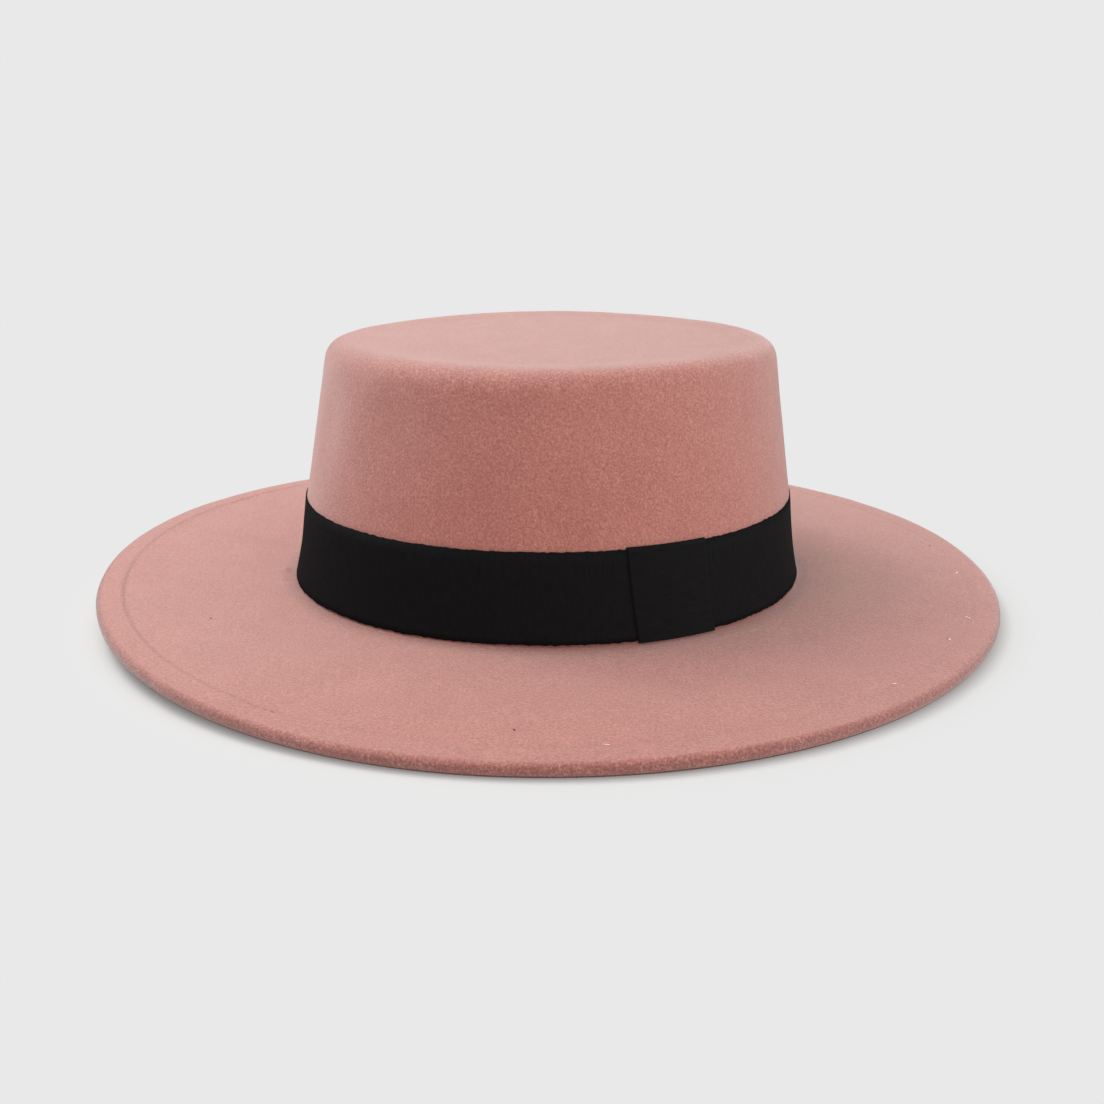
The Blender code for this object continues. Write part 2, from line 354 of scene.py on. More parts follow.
def loft_rings(mesh, rings, segments):
    """A sheet through a row of rings, with each point's painted crease shade and its nap kept on it."""
    own_angle = mesh.verts.layers.float.new("angle")
    crease = mesh.verts.layers.float.new("crease")
    nap = mesh.verts.layers.float.new("nap")
    verts = bmesh.ops.create_circle(mesh, segments=segments, radius=1.0)["verts"]
    for number, vertex in enumerate(verts):
        vertex[own_angle] = 2 * math.pi * number / segments
    edges = mesh.edges[:]
    for number, ring in enumerate(rings):
        if number > 0:
            grown = bmesh.ops.extrude_edge_only(mesh, edges=edges)["geom"]
            verts = [item for item in grown if isinstance(item, bmesh.types.BMVert)]
            edges = [item for item in grown if isinstance(item, bmesh.types.BMEdge) and item.is_boundary]
            for face in (item for item in grown if isinstance(item, bmesh.types.BMFace)):
                face.material_index = int(ring.underside)
        for vertex in verts:
            angle = vertex[own_angle]
            vertex.co = ring.place(angle)
            vertex[crease] = ring.crease(angle) if callable(ring.crease) else ring.crease
            vertex[nap] = ring.nap


def new_piece(mesh, name, materials):
    data = bpy.data.meshes.new(name)
    mesh.to_mesh(data)
    mesh.free()
    data.shade_smooth()
    for material in materials:
        data.materials.append(material)
    piece = bpy.data.objects.new(name, data)
    bpy.context.scene.collection.objects.link(piece)
    return piece


def thicken(piece, thickness, offset):
    wall = piece.modifiers.new("wall", "SOLIDIFY")
    wall.thickness = thickness
    wall.offset = offset
    wall.use_even_offset = True
    wall.use_rim = True


# Unevenness of hand-blocked felt: waves in a metre, and their height
SLOW_WAVES = 22.0
SLOW_HEIGHT = 0.28 * MM
QUICK_WAVES = 75.0
QUICK_HEIGHT = 0.10 * MM
QUICK_SHIFT = Vector((3.1, 1.7, 5.2))
EVEN_BELOW = HEM_HEIGHT * 0.9   # the hem that rests on the floor stays even


def felt_relief(place):
    slow = noise.noise(place * SLOW_WAVES)
    quick = noise.noise(place * QUICK_WAVES + QUICK_SHIFT)
    return slow * SLOW_HEIGHT + quick * QUICK_HEIGHT


def make_felt_shell(material, underside):
    mesh = bmesh.new()
    loft_rings(mesh, felt_rings(), SEGMENTS)
    tip_edges = mesh.edges[:SEGMENTS]
    bmesh.ops.contextual_create(mesh, geom=tip_edges)
    bmesh.ops.recalc_face_normals(mesh, faces=mesh.faces[:])
    top = max(mesh.faces, key=lambda face: face.calc_center_median().z)
    if top.normal.z < 0:
        bmesh.ops.reverse_faces(mesh, faces=mesh.faces[:])
    mesh.normal_update()
    shifts = [(vertex, vertex.normal * felt_relief(vertex.co)) for vertex in mesh.verts]
    for vertex, shift in shifts:
        if vertex.co.z > EVEN_BELOW:
            vertex.co += shift
    shell = new_piece(mesh, "felt_shell", [material, underside])
    thicken(shell, FELT_THICKNESS, -1)
    return shell


# Ribbon
RIB_PITCH = 0.45 * MM
RIB_RELIEF = 0.05 * MM
RIBBON_JOIN_ANGLE = -61.0
JOIN_HALF_GAP = 0.1             # degrees
RIBBON_CLOTH = 0.45 * MM
PICOT = 0.11 * MM
EDGE_WANDER = 0.30 * MM
WANDER_WAVES = 0.14             # for each half rib along the edge
EDGES_APART = 7.0               # makes the two edges wander in unlike ways
WOBBLE_DEPTH = 0.12 * MM
WOBBLE_WAVES = 6.0
WOBBLE_RISE = 50.0 * MM
RIBBON_FLARE = 1.3 * MM
FLARE_HEIGHT = 20.0 * MM
RIBBON_FACE = 0.85 * MM         # outer face of the ribbon over the felt that it presses in
KEEPER_FACE = 1.75 * MM         # and that of the keeper
RIBBON_ROWS = 12
ROW_SPREAD = 0.8                # under 1, rows lie closer towards the lower edge


def even_angles(height, outset, start, end, count):
    """Angles of points that lie evenly along the wall between two angles in degrees."""
    fine = np.radians(np.linspace(start, end, FINE_STEPS))
    points = np.array([wall_place(angle, height, outset, RIBBON_BITE)[:2] for angle in fine])
    steps = np.linalg.norm(np.diff(points, axis=0), axis=1)
    along = np.concatenate([[0.0], np.cumsum(steps)])
    angles = np.interp(np.linspace(0.0, along[-1], count), along, fine)
    return angles, along[-1]


def ribbon_grid(columns, rows):
    """A flat grid with its own UV map, whose points are then placed by column and row."""
    mesh = bmesh.new()
    mesh.loops.layers.uv.new("UVMap")
    grid = bmesh.ops.create_grid(mesh, x_segments=columns, y_segments=rows, size=0.5, calc_uvs=True)
    return mesh, grid["verts"]


def band_height(row, rows):
    return between(RIBBON_TOP, RIBBON_BOTTOM, (row / rows) ** ROW_SPREAD)


def ribbon_place(angle, height, outset):
    """A point on a ribbon, whose lower edge stands out evenly over the rounded inner corner."""
    flare = RIBBON_FLARE * clamp(1 - (height - RIBBON_BOTTOM) / FLARE_HEIGHT) ** 2
    return wall_place(angle, height, outset + flare - cove_outset(height), RIBBON_BITE)


def make_ribbon_band(material):
    middle = (RIBBON_BOTTOM + RIBBON_TOP) / 2
    start = RIBBON_JOIN_ANGLE + JOIN_HALF_GAP
    end = RIBBON_JOIN_ANGLE + 360 - JOIN_HALF_GAP
    _, length = even_angles(middle, RIBBON_FACE, start, end, 2)
    columns = 2 * round(length / RIB_PITCH)
    angles, length = even_angles(middle, RIBBON_FACE, start, end, columns + 1)
    mesh, verts = ribbon_grid(columns, RIBBON_ROWS)
    for vertex in verts:
        column = round((vertex.co.x + 0.5) * columns)
        row = round((0.5 - vertex.co.y) * RIBBON_ROWS)
        side = 1 if column % 2 else -1
        angle = angles[column]
        height = band_height(row, RIBBON_ROWS)
        if row in (0, RIBBON_ROWS):
            wander = noise.noise(Vector((column * WANDER_WAVES, row * EDGES_APART, 0.5)))
            height += side * PICOT + wander * EDGE_WANDER
        around = Vector((math.cos(angle), math.sin(angle), height / WOBBLE_RISE))
        wobble = noise.noise(around * WOBBLE_WAVES)
        outset = RIBBON_FACE + (side - 1) * RIB_RELIEF + wobble * WOBBLE_DEPTH
        vertex.co = ribbon_place(angle, height, outset)
    bmesh.ops.recalc_face_normals(mesh, faces=mesh.faces[:])
    face = mesh.faces[:][0]
    if face.normal.dot(face.calc_center_median()) < 0:
        bmesh.ops.reverse_faces(mesh, faces=mesh.faces[:])
    band = new_piece(mesh, "ribbon_band", [material])
    thicken(band, RIBBON_CLOTH, -1)
    return band, length


# Keeper: its corners on the crown, in degrees, and the roll of its upper edge
KEEPER_TOP_LEFT = -70.4
KEEPER_TOP_RIGHT = -52.3
KEEPER_LOW_LEFT = -68.4
KEEPER_LOW_RIGHT = -51.2
KEEPER_ROLL = 0.9 * MM
KEEPER_ROLL_ROWS = 6
KEEPER_COLUMNS = 36
KEEPER_RIB_RELIEF = 0.8 * RIB_RELIEF
KEEPER_PICOT = 0.0004           # in radians round the crown


def make_keeper_ribbon(material):
    top = RIBBON_TOP + CLEARANCE + RIBBON_CLOTH
    bottom = RIBBON_BOTTOM - KEEPER_LOW_OVERSTEP
    face_rows = 2 * round((top - bottom) / RIB_PITCH)
    rows = face_rows + KEEPER_ROLL_ROWS
    mesh, verts = ribbon_grid(KEEPER_COLUMNS, rows)
    for vertex in verts:
        across = vertex.co.x + 0.5
        row = round((0.5 - vertex.co.y) * rows)
        side = 1 if row % 2 else -1
        if row < KEEPER_ROLL_ROWS:
            turn = math.pi / 2 * row / KEEPER_ROLL_ROWS
            height = top - KEEPER_ROLL * (1 - math.cos(turn))
            outset = KEEPER_FACE - KEEPER_ROLL * (1 - math.sin(turn))
        else:
            share = (row - KEEPER_ROLL_ROWS) / face_rows
            height = between(top - KEEPER_ROLL, bottom, share)
            outset = KEEPER_FACE + side * KEEPER_RIB_RELIEF
        drop = (RIBBON_TOP - height) / RIBBON_HEIGHT
        left = between(KEEPER_TOP_LEFT, KEEPER_LOW_LEFT, drop)
        right = between(KEEPER_TOP_RIGHT, KEEPER_LOW_RIGHT, drop)
        angle = math.radians(between(left, right, across))
        if row % 2 and across in (0.0, 1.0):
            angle += KEEPER_PICOT * (1 if across else -1)
        vertex.co = ribbon_place(angle, height, outset)
    bmesh.ops.recalc_face_normals(mesh, faces=mesh.faces[:])
    low = min(mesh.faces, key=lambda face: face.calc_center_median().z)
    if low.normal.dot(low.calc_center_median()) < 0:
        bmesh.ops.reverse_faces(mesh, faces=mesh.faces[:])
    keeper = new_piece(mesh, "keeper_ribbon", [material])
    thicken(keeper, RIBBON_CLOTH, -1)
    _, width = even_angles((top + bottom) / 2, KEEPER_FACE, KEEPER_TOP_LEFT, KEEPER_TOP_RIGHT, 2)
    return keeper, (width, top - bottom)


# Hem stitches and the pale tacks that show through along them
STITCH_PITCH = 3.2 * MM
STITCH_LENGTH = 2.0 * MM
THREAD_RADIUS = 0.12 * MM
THREAD_SIDES = 6
THREAD_RINGS = 4
TURN_STEP = 0.001               # in radians, for the direction along the edge
OUTWARD_STEP = 0.1 * MM
STITCH_SINK = 0.4 * THREAD_RADIUS
STITCHES_SHOW_FROM = 0.1        # share of the groove
TACK_RISE = 0.5
SPECK_RISE = 0.3
Tack = namedtuple("Tack", "angle_deg inset length radius tilt_deg")
PALE_TACKS = (
    Tack(angle_deg=-1.3, inset=11.9 * MM, length=2.4 * MM, radius=0.30 * MM, tilt_deg=35.0),
    Tack(angle_deg=-19.2, inset=10.9 * MM, length=2.8 * MM, radius=0.28 * MM, tilt_deg=-60.0),
    Tack(angle_deg=-27.8, inset=12.8 * MM, length=1.1 * MM, radius=0.42 * MM, tilt_deg=0.0),
    Tack(angle_deg=-44.0, inset=11.4 * MM, length=1.8 * MM, radius=0.20 * MM, tilt_deg=20.0),
    Tack(angle_deg=-80.2, inset=10.8 * MM, length=2.0 * MM, radius=0.18 * MM, tilt_deg=5.0),
)
DARK_SPECKS = (
    Tack(angle_deg=-89.9, inset=19.8 * MM, length=1.3 * MM, radius=0.30 * MM, tilt_deg=50.0),
    Tack(angle_deg=-146.7, inset=36.9 * MM, length=0.7 * MM, radius=0.22 * MM, tilt_deg=60.0),
    Tack(angle_deg=11.3, inset=12.1 * MM, length=0.8 * MM, radius=0.25 * MM, tilt_deg=10.0),
    Tack(angle_deg=-27.5, inset=13.7 * MM, length=0.7 * MM, radius=0.16 * MM, tilt_deg=0.0),
)


def add_thread(mesh, centre, along, length, radius):
    """A short rounded bit of thread lying along a direction."""
    ball = bmesh.ops.create_uvsphere(mesh, u_segments=THREAD_SIDES, v_segments=THREAD_RINGS, radius=1.0)
    turn = along.to_track_quat("Z", "Y").to_matrix().to_4x4()
    size = Matrix.Diagonal((radius, radius, length / 2, 1.0))
    bmesh.ops.transform(mesh, matrix=Matrix.Translation(centre) @ turn @ size, verts=ball["verts"])


def brim_frame(angle, outset, above_hem=None):
    """A point on the brim with the directions along the edge and outwards."""
    here = Vector(brim_place(angle, outset, above_hem))
    along = Vector(brim_place(angle + TURN_STEP, outset, above_hem)) - here
    outwards = Vector(brim_place(angle, outset + OUTWARD_STEP, above_hem)) - here
    return here, along.normalized(), outwards.normalized()


def make_hem_stitches(material):
    mesh = bmesh.new()
    outset = BRIM_WIDTH - STITCH_INSET
    fine = np.radians(np.linspace(0, 360, FINE_STEPS))
    points = np.array([brim_place(angle, outset)[:2] for angle in fine])
    steps = np.linalg.norm(np.diff(points, axis=0), axis=1)
    along_edge = np.concatenate([[0.0], np.cumsum(steps)])
    count = round(along_edge[-1] / STITCH_PITCH)
    angles = np.interp(np.arange(count) * along_edge[-1] / count, along_edge, fine)
    for angle in (float(item) for item in angles if groove_share(item) > STITCHES_SHOW_FROM):
        above = HEM_HEIGHT - groove_depth(angle) - STITCH_SINK
        here, along, _ = brim_frame(angle, outset, above)
        add_thread(mesh, here, along, STITCH_LENGTH, THREAD_RADIUS)
    return new_piece(mesh, "hem_stitches", [material])


def make_bits(name, bits, material, rise):
    """Bits of thread or lint on the brim, their middles a share of their radius above it."""
    mesh = bmesh.new()
    for bit in bits:
        here, along, outwards = brim_frame(math.radians(bit.angle_deg), BRIM_WIDTH - bit.inset)
        tilt = math.radians(bit.tilt_deg)
        direction = along * math.cos(tilt) + outwards * math.sin(tilt)
        here.z += bit.radius * rise
        add_thread(mesh, here, direction, bit.length, bit.radius)
    return new_piece(mesh, name, [material])


# Materials
def new_group(name, inputs, outputs):
    """A shader node group with named sockets: (name, type, default)."""
    group = bpy.data.node_groups.new(name, "ShaderNodeTree")
    for label, kind, value in inputs:
        socket = group.interface.new_socket(label, in_out="INPUT", socket_type=kind)
        if value is not None:
            socket.default_value = value
    for label, kind in outputs:
        group.interface.new_socket(label, in_out="OUTPUT", socket_type=kind)
    enter = group.nodes.new("NodeGroupInput")
    leave = group.nodes.new("NodeGroupOutput")
    return group, enter, leave


def add_node(tree, kind, settings=None, values=None):
    node = tree.nodes.new(kind)
    for key, value in (settings or {}).items():
        setattr(node, key, value)
    for key, value in (values or {}).items():
        node.inputs[key].default_value = value
    return node


def maths(tree, operation, first, second=None, third=None, clamped=False):
    """A Math node; each of its inputs is a number or a socket."""
    node = add_node(tree, "ShaderNodeMath", {"operation": operation, "use_clamp": clamped})
    for place, item in enumerate((first, second, third)):
        if item is None:
            continue
        if isinstance(item, (int, float)):
            node.inputs[place].default_value = item
        else:
            tree.links.new(item, node.inputs[place])
    return node.outputs[0]


# Felt's nap: its three noise patterns, and what each adds to its tone and relief
PATCHES = {"Scale": 70.0, "Detail": 2.0, "Roughness": 0.5}
SPOTS = {"Scale": 1250.0, "Detail": 3.0, "Roughness": 0.75}
SWIRLS = {"Scale": 420.0, "Detail": 2.0, "Roughness": 0.55, "Distortion": 1.6, "Offset": 0.9, "Gain": 2.0}
PATCH_TONE = 0.12
STRAND_TONE = 0.22
EVEN_TONE = 0.14                # what patches and strands add on average
STRAND_RELIEF = 0.35


def build_felt_nap():
    """Mottled colour and matted fibres of wool felt, darkened with painted shade where it lies in a
    crease.
    """
    group, enter, leave = new_group(
        "Felt nap",
        (
            ("Vector", "NodeSocketVector", None),
            ("Color", "NodeSocketColor", (0.45, 0.18, 0.15, 1.0)),
            ("Painted Shade Tint", "NodeSocketColor", (0.5, 0.45, 0.42, 1.0)),
            ("Light Color", "NodeSocketColor", (0.62, 0.3, 0.27, 1.0)),
            ("Dark Color", "NodeSocketColor", (0.36, 0.12, 0.1, 1.0)),
            ("Mottle", "NodeSocketFloat", 0.12),
            ("Crease", "NodeSocketFloat", 0.0),
            ("Depth", "NodeSocketFloat", 0.3 * MM),
        ),
        (("Color", "NodeSocketColor"), ("Normal", "NodeSocketVector")),
    )
    links = group.links
    patches = add_node(group, "ShaderNodeTexNoise", None, PATCHES)
    mottle = add_node(group, "ShaderNodeTexNoise", None, SPOTS)
    swirl = add_node(group, "ShaderNodeTexNoise", {"noise_type": "RIDGED_MULTIFRACTAL"}, SWIRLS)
    for texture in (patches, mottle, swirl):
        links.new(enter.outputs["Vector"], texture.inputs["Vector"])
    strands = add_node(group, "ShaderNodeMapRange", None, {"From Min": 0.9, "From Max": 2.2})
    links.new(swirl.outputs["Fac"], strands.inputs["Value"])
    tone = maths(group, "SUBTRACT", mottle.outputs["Fac"], 0.5)
    tone = maths(group, "MULTIPLY_ADD", patches.outputs["Fac"], PATCH_TONE, tone)
    tone = maths(group, "MULTIPLY_ADD", strands.outputs["Result"], STRAND_TONE, tone)
    tone = maths(group, "SUBTRACT", tone, EVEN_TONE)
    lighter = maths(group, "MULTIPLY", tone, enter.outputs["Mottle"], clamped=True)
    darkness = maths(group, "MULTIPLY", enter.outputs["Mottle"], -1.0)
    darker = maths(group, "MULTIPLY", tone, darkness, clamped=True)
    lit = add_node(group, "ShaderNodeMix", {"data_type": "RGBA"})
    links.new(lighter, lit.inputs["Factor"])
    links.new(enter.outputs["Color"], lit.inputs["A"])
    links.new(enter.outputs["Light Color"], lit.inputs["B"])
    shaded = add_node(group, "ShaderNodeMix", {"data_type": "RGBA"})
    links.new(darker, shaded.inputs["Factor"])
    links.new(lit.outputs["Result"], shaded.inputs["A"])
    links.new(enter.outputs["Dark Color"], shaded.inputs["B"])
    # Painted shade: the Crease input multiplies the shade tint into the colour
    deepen = add_node(group, "ShaderNodeMix", {"data_type": "RGBA", "blend_type": "MULTIPLY"})
    links.new(enter.outputs["Crease"], deepen.inputs["Factor"])
    links.new(shaded.outputs["Result"], deepen.inputs["A"])
    links.new(enter.outputs["Painted Shade Tint"], deepen.inputs["B"])
    links.new(deepen.outputs["Result"], leave.inputs["Color"])
    height = maths(group, "MULTIPLY_ADD", strands.outputs["Result"], STRAND_RELIEF, mottle.outputs["Fac"])
    bump = add_node(group, "ShaderNodeBump", None, {"Strength": 0.8})
    links.new(enter.outputs["Depth"], bump.inputs["Distance"])
    links.new(height, bump.inputs["Height"])
    links.new(bump.outputs["Normal"], leave.inputs["Normal"])
    return group


# Grosgrain: how unlike its ribs are, the painted highlight on its threads, and its gloss
RIB_WEAR = 1.2
RIB_WEAR_START = 0.25
THREAD_HIGHLIGHT = 0.5
THREAD_RELIEF = 0.05 * MM
RIBBON_ROUGHNESS = 0.8
WORN_SMOOTHER = 0.15
RIBBON_SHINE = 0.12


def build_grosgrain():
    """Threads of a ribbed ribbon, for its UV map and its numbers of ribs and threads."""
    group, enter, leave = new_group(
        "Grosgrain threads",
        (
            ("UV", "NodeSocketVector", None),
            ("Color", "NodeSocketColor", (0.0025, 0.0025, 0.0032, 1.0)),
            ("Worn And Highlight Color", "NodeSocketColor", (0.0074, 0.0073, 0.0090, 1.0)),
            ("Ribs", "NodeSocketFloat", 1200.0),
            ("Threads", "NodeSocketFloat", 120.0),
            ("Turned", "NodeSocketFloat", 0.0),
        ),
        (("Color", "NodeSocketColor"), ("Roughness", "NodeSocketFloat"), ("Normal", "NodeSocketVector")),
    )
    links = group.links
    split = add_node(group, "ShaderNodeSeparateXYZ")
    links.new(enter.outputs["UV"], split.inputs[0])
    along = add_node(group, "ShaderNodeMix", {"data_type": "FLOAT"})
    links.new(enter.outputs["Turned"], along.inputs["Factor"])
    links.new(split.outputs["X"], along.inputs["A"])
    links.new(split.outputs["Y"], along.inputs["B"])
    across = add_node(group, "ShaderNodeMix", {"data_type": "FLOAT"})
    links.new(enter.outputs["Turned"], across.inputs["Factor"])
    links.new(split.outputs["Y"], across.inputs["A"])
    links.new(split.outputs["X"], across.inputs["B"])
    rib_place = maths(group, "MULTIPLY", along.outputs["Result"], enter.outputs["Ribs"])
    thread_place = maths(group, "MULTIPLY", across.outputs["Result"], enter.outputs["Threads"])
    shifted = maths(group, "MULTIPLY_ADD", rib_place, 0.5, thread_place)
    thread = maths(group, "PINGPONG", shifted, 0.5)
    own_rib = maths(group, "FLOOR", rib_place)
    combined = add_node(group, "ShaderNodeCombineXYZ")
    links.new(own_rib, combined.inputs["X"])
    slow = maths(group, "MULTIPLY", thread_place, 0.05)
    links.new(slow, combined.inputs["Y"])
    wander = add_node(group, "ShaderNodeTexNoise", None, {"Scale": 0.8, "Detail": 2.0})
    links.new(combined.outputs["Vector"], wander.inputs["Vector"])
    # Ribs differ at random in wear, and the thread crests get a painted highlight in the lighter colour
    wear_and_highlight = maths(group, "MULTIPLY_ADD", wander.outputs["Fac"], RIB_WEAR, -RIB_WEAR_START)
    wear_and_highlight = maths(group, "MULTIPLY_ADD", thread, THREAD_HIGHLIGHT, wear_and_highlight, clamped=True)
    blend = add_node(group, "ShaderNodeMix", {"data_type": "RGBA"})
    links.new(wear_and_highlight, blend.inputs["Factor"])
    links.new(enter.outputs["Color"], blend.inputs["A"])
    links.new(enter.outputs["Worn And Highlight Color"], blend.inputs["B"])
    links.new(blend.outputs["Result"], leave.inputs["Color"])
    rough = maths(group, "MULTIPLY_ADD", wear_and_highlight, -WORN_SMOOTHER, RIBBON_ROUGHNESS)
    links.new(rough, leave.inputs["Roughness"])
    bump = add_node(group, "ShaderNodeBump", None, {"Strength": 0.6, "Distance": THREAD_RELIEF})
    links.new(thread, bump.inputs["Height"])
    links.new(bump.outputs["Normal"], leave.inputs["Normal"])
    return group


def new_material(name):
    material = bpy.data.materials.new(name)
    material.use_nodes = True
    shader = material.node_tree.nodes["Principled BSDF"]
    return material, material.node_tree, shader


def set_shader(shader, **values):
    for label, value in values.items():
        shader.inputs[label.replace("_", " ")].default_value = value


FELT_COLOR = (0.505, 0.185, 0.146, 1.0)
FELT_LIGHT = (0.68, 0.33, 0.29, 1.0)
FELT_DARK = (0.33, 0.092, 0.075, 1.0)
# Colour multiplied into the felt as painted shade in its creases, stitched groove and hem
PAINTED_SHADE_TINT = (0.36, 0.27, 0.25, 1.0)
MOTTLE = 3.6
RAISED_MOTTLE = 3.8      # added where the nap stands up: tip, shoulder and hem
NAP_DEPTH = 0.34 * MM
SHEEN = 0.68
# The felt under the hem is a shaded copy with little sheen, as painted shade
SHADED_UNDERSIDE_SHEEN = 0.05


def make_felt_material(name, nap, sheen):
    material, tree, shader = new_material(name)
    where = add_node(tree, "ShaderNodeTexCoord")
    group = add_node(tree, "ShaderNodeGroup", {"node_tree": nap})
    group.inputs["Color"].default_value = FELT_COLOR
    group.inputs["Painted Shade Tint"].default_value = PAINTED_SHADE_TINT
    group.inputs["Light Color"].default_value = FELT_LIGHT
    group.inputs["Dark Color"].default_value = FELT_DARK
    group.inputs["Depth"].default_value = NAP_DEPTH
    # Painted shade: the crease attribute says how far the shade tint darkens the felt
    crease = add_node(tree, "ShaderNodeAttribute", {"attribute_name": "crease"})
    tree.links.new(where.outputs["Object"], group.inputs["Vector"])
    raised = add_node(tree, "ShaderNodeAttribute", {"attribute_name": "nap"})
    mottle = maths(tree, "MULTIPLY_ADD", raised.outputs["Fac"], RAISED_MOTTLE, MOTTLE)
    tree.links.new(crease.outputs["Fac"], group.inputs["Crease"])
    tree.links.new(mottle, group.inputs["Mottle"])
    tree.links.new(group.outputs["Color"], shader.inputs["Base Color"])
    tree.links.new(group.outputs["Normal"], shader.inputs["Normal"])
    set_shader(
        shader,
        Roughness=0.62,
        Sheen_Weight=sheen,
        Sheen_Roughness=0.55,
        Sheen_Tint=(1.0, 0.90, 0.88, 1.0),
        Specular_IOR_Level=0.4,
    )
    return material


# Ribs and threads over a ribbon's whole UV map
BAND_RIBS = 1240.0
BAND_THREADS = 160.0
KEEPER_RIBS = 74.0
KEEPER_THREADS = 150.0


def make_ribbon_material(name, threads_group, ribs, threads, turned):
    """Grosgrain whose ribs stand upright, or lie level where it is turned."""
    material, tree, shader = new_material(name)
    where = add_node(tree, "ShaderNodeUVMap", {"uv_map": "UVMap"})
    group = add_node(tree, "ShaderNodeGroup", {"node_tree": threads_group})
    group.inputs["Ribs"].default_value = ribs
    group.inputs["Threads"].default_value = threads
    group.inputs["Turned"].default_value = turned
    tree.links.new(where.outputs["UV"], group.inputs["UV"])
    tree.links.new(group.outputs["Color"], shader.inputs["Base Color"])
    tree.links.new(group.outputs["Roughness"], shader.inputs["Roughness"])
    tree.links.new(group.outputs["Normal"], shader.inputs["Normal"])
    set_shader(shader, Specular_IOR_Level=RIBBON_SHINE)
    return material


ROSY_THREAD = (0.40, 0.15, 0.12, 1.0)
PALE_LINT = (0.85, 0.80, 0.77, 1.0)
DARK_LINT = (0.06, 0.025, 0.02, 1.0)
THREAD_GRAIN = 0.05 * MM


def make_thread_material(name, color, nap):
    material, tree, shader = new_material(name)
    where = add_node(tree, "ShaderNodeTexCoord")
    group = add_node(tree, "ShaderNodeGroup", {"node_tree": nap})
    group.inputs["Color"].default_value = color
    for label in ("Light Color", "Dark Color"):
        group.inputs[label].default_value = color
    group.inputs["Depth"].default_value = THREAD_GRAIN
    tree.links.new(where.outputs["Object"], group.inputs["Vector"])
    tree.links.new(group.outputs["Color"], shader.inputs["Base Color"])
    tree.links.new(group.outputs["Normal"], shader.inputs["Normal"])
    set_shader(shader, Roughness=0.8, Sheen_Weight=0.3, Sheen_Roughness=0.5)
    return material


# Studio; the floor's zones are shares of the way from the hat's middle to its edge
FLOOR_REACH = 40.0
FLOOR_ALBEDO = 0.71
FAR_FLOOR_ALBEDO = 0.0
FAR_FLOOR_GLOW = 0.814
# Painted shade: the floor is made dark under the hat
PAINTED_SHADE_UNDER_HAT_ALBEDO = 0.10
UNDER_HAT = 0.95
GLOW_START = 0.95
GLOW_FULL = 1.10
BACKDROP = 0.814
ROOM_LIGHT = 0.56
Softbox = namedtuple("Softbox", "name place power width color")
SOFTBOXES = (
    Softbox("key_from_left", place=(-0.62, 0.24, 0.98), power=4.3, width=0.50, color=(1.0, 0.99, 0.98)),
    Softbox("soft_overhead", place=(-0.42, 0.10, 1.0), power=4.5, width=1.1, color=(1.0, 0.99, 0.98)),
)
FILL_DIRECTION = (-0.86, 0.37, -0.34)
FILL_STRENGTH = 1.27
FILL_SPREAD_DEG = 50.0
FILL_COLOR = (1.0, 0.975, 0.92)


def make_floor():
    """A pale floor that takes the hat's shadow near its oval, is painted almost black under the hat's
    edge as painted shade, and is evenly bright further out.
    """
    mesh = bmesh.new()
    bmesh.ops.create_grid(mesh, x_segments=1, y_segments=1, size=FLOOR_REACH)
    material, tree, shader = new_material("pale_floor")
    where = add_node(tree, "ShaderNodeTexCoord")
    oval = add_node(tree, "ShaderNodeVectorMath", {"operation": "MULTIPLY"})
    span = Vector(CAD_BOX[1]) - Vector(CAD_BOX[0])
    oval.inputs[1].default_value = (2 / span.x, 2 / span.y, 0.0)
    reach = add_node(tree, "ShaderNodeVectorMath", {"operation": "LENGTH"})
    far = add_node(tree, "ShaderNodeMapRange", {"interpolation_type": "SMOOTHSTEP"})
    far.inputs["From Min"].default_value = GLOW_START
    far.inputs["From Max"].default_value = GLOW_FULL
    tree.links.new(where.outputs["Object"], oval.inputs[0])
    tree.links.new(oval.outputs["Vector"], reach.inputs[0])
    tree.links.new(reach.outputs["Value"], far.inputs["Value"])
    # Painted shade: the floor's albedo falls to almost nothing under the hat's edge
    under = add_node(tree, "ShaderNodeMapRange", {"interpolation_type": "SMOOTHSTEP"})
    under.inputs["From Min"].default_value = UNDER_HAT
    under.inputs["From Max"].default_value = 1.0
    under.inputs["To Min"].default_value = PAINTED_SHADE_UNDER_HAT_ALBEDO
    under.inputs["To Max"].default_value = FLOOR_ALBEDO
    tree.links.new(reach.outputs["Value"], under.inputs["Value"])
    albedo = maths(tree, "SUBTRACT", FAR_FLOOR_ALBEDO, under.outputs["Result"])
    albedo = maths(tree, "MULTIPLY_ADD", albedo, far.outputs["Result"], under.outputs["Result"])
    glow = maths(tree, "MULTIPLY", far.outputs["Result"], FAR_FLOOR_GLOW)
    tree.links.new(albedo, shader.inputs["Base Color"])
    tree.links.new(glow, shader.inputs["Emission Color"])
    set_shader(shader, Roughness=1.0, Specular_IOR_Level=0.0, Emission_Strength=1.0)
    floor = new_piece(mesh, "floor", [material])
    return floor


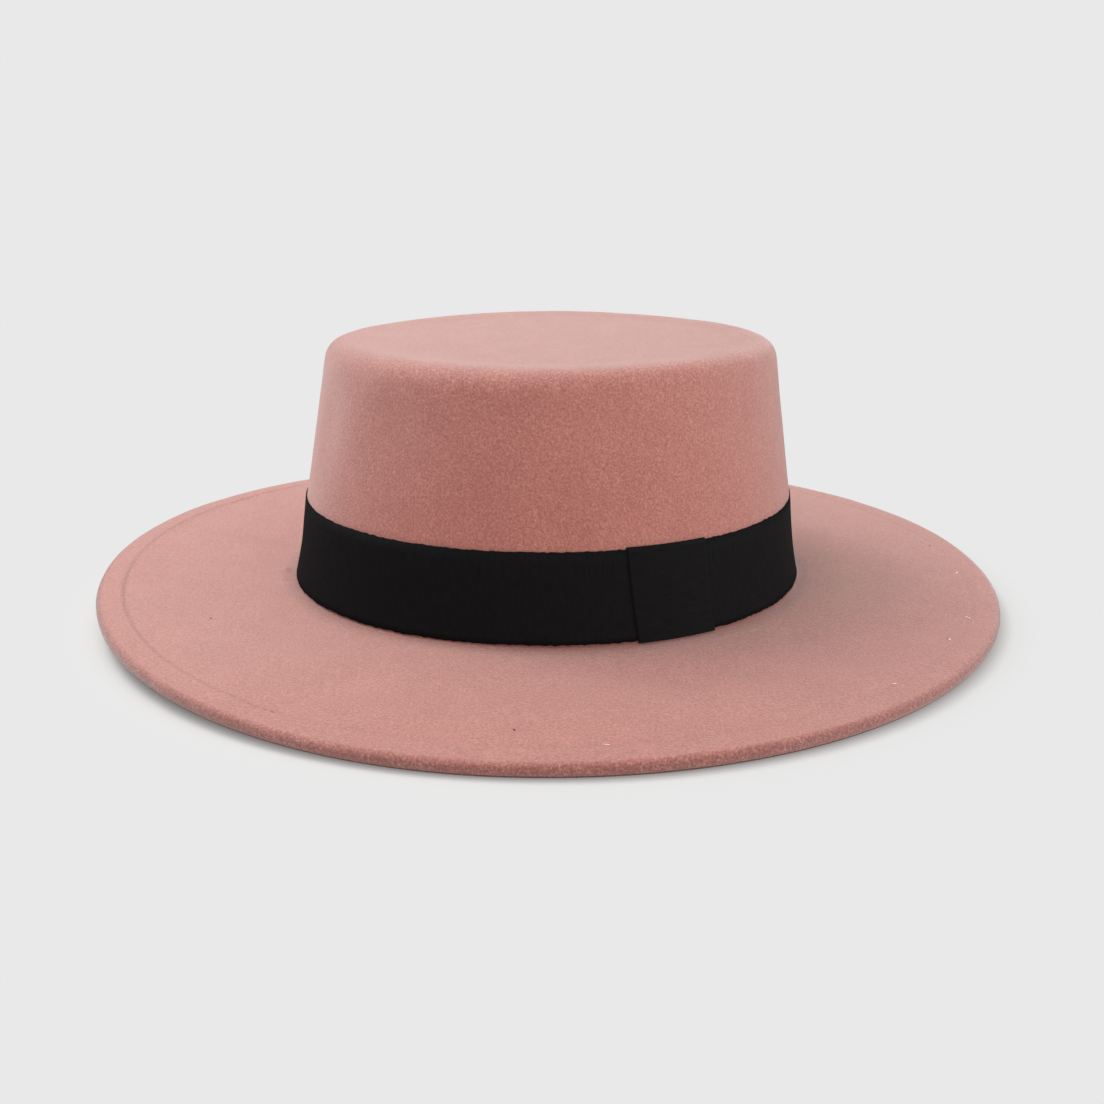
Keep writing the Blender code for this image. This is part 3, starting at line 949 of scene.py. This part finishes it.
def make_world(light, backdrop):
    world = bpy.data.worlds.new("pale studio")
    world.use_nodes = True
    tree = world.node_tree
    tree.nodes.clear()
    leave = add_node(tree, "ShaderNodeOutputWorld")
    glow = add_node(tree, "ShaderNodeBackground", None, {"Color": (light, light, light, 1.0)})
    seen = add_node(tree, "ShaderNodeBackground", None, {"Color": (backdrop, backdrop, backdrop, 1.0)})
    path = add_node(tree, "ShaderNodeLightPath")
    pick = add_node(tree, "ShaderNodeMixShader")
    tree.links.new(path.outputs["Is Camera Ray"], pick.inputs["Fac"])
    tree.links.new(glow.outputs[0], pick.inputs[1])
    tree.links.new(seen.outputs[0], pick.inputs[2])
    tree.links.new(pick.outputs[0], leave.inputs["Surface"])
    bpy.context.scene.world = world


def add_softbox(name, place, power, width, color):
    """A round soft light that stands near the hat and faces its crown."""
    data = bpy.data.lights.new(name, "AREA")
    data.shape = "DISK"
    data.energy = power
    data.size = width
    data.color = color
    lamp = bpy.data.objects.new(name, data)
    lamp.location = place
    lamp.rotation_euler = (-Vector(place)).to_track_quat("-Z", "Y").to_euler()
    lamp.visible_camera = False
    bpy.context.scene.collection.objects.link(lamp)


def add_fill(name, direction, strength, spread_deg, color):
    """A soft light from afar along a direction, which casts no shadow."""
    data = bpy.data.lights.new(name, "SUN")
    data.energy = strength
    data.angle = math.radians(spread_deg)
    data.color = color
    data.use_shadow = False
    lamp = bpy.data.objects.new(name, data)
    lamp.rotation_euler = Vector(direction).to_track_quat("-Z", "Y").to_euler()
    bpy.context.scene.collection.objects.link(lamp)


CAMERA_PLACE = Vector((33.545, -451.93, 172.83)) * MM
VIEW_DIRECTION = Vector((-0.06589, 0.93978, -0.33537))
CAMERA_ROLL = -0.007
CAMERA_LENS = 38.437


def make_camera():
    data = bpy.data.cameras.new("photo_view")
    data.lens = CAMERA_LENS
    data.sensor_width = 36.0
    camera = bpy.data.objects.new("photo_view", data)
    forward = VIEW_DIRECTION.normalized()
    right = forward.cross(Vector((0, 0, 1))).normalized()
    up = right.cross(forward)
    tilted_right = right * math.cos(CAMERA_ROLL) + up * math.sin(CAMERA_ROLL)
    tilted_up = up * math.cos(CAMERA_ROLL) - right * math.sin(CAMERA_ROLL)
    turn = Matrix((tilted_right, tilted_up, -forward)).transposed()
    camera.matrix_world = Matrix.Translation(CAMERA_PLACE) @ turn.to_4x4()
    bpy.context.scene.collection.objects.link(camera)
    bpy.context.scene.camera = camera


def main():
    nap = build_felt_nap()
    grosgrain = build_grosgrain()
    felt = make_felt_material("wool_felt_nap", nap, SHEEN)
    # A shaded copy of the felt with little sheen for the faces under the hem: painted shade
    underside = make_felt_material("wool_felt_shaded_underside", nap, SHADED_UNDERSIDE_SHEEN)
    shell = make_felt_shell(felt, underside)
    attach(shell, "root")
    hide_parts("felt_body")

    band_material = make_ribbon_material("grosgrain_upright", grosgrain, BAND_RIBS, BAND_THREADS, 0.0)
    band, band_length = make_ribbon_band(band_material)
    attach(band, "root")
    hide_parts("hat_band")

    keeper_material = make_ribbon_material("grosgrain_level", grosgrain, KEEPER_RIBS, KEEPER_THREADS, 1.0)
    keeper, keeper_size = make_keeper_ribbon(keeper_material)
    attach(keeper, "root")
    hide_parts("band_keeper")

    thread = make_thread_material("rosy_thread", ROSY_THREAD, nap)
    pale = make_thread_material("pale_lint", PALE_LINT, nap)
    dark = make_thread_material("dark_lint", DARK_LINT, nap)
    stitches = make_hem_stitches(thread)
    tacks = make_bits("pale_tacks", PALE_TACKS, pale, TACK_RISE)
    specks = make_bits("dark_specks", DARK_SPECKS, dark, SPECK_RISE)
    for piece in (stitches, tacks, specks):
        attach(piece, "root")

    make_floor()
    make_world(ROOM_LIGHT, BACKDROP)
    for softbox in SOFTBOXES:
        add_softbox(*softbox)
    add_fill("fill_from_right", FILL_DIRECTION, FILL_STRENGTH, FILL_SPREAD_DEG, FILL_COLOR)
    make_camera()
    bpy.context.scene.view_settings.view_transform = "Standard"


main()
bpy.context.view_layer.update()
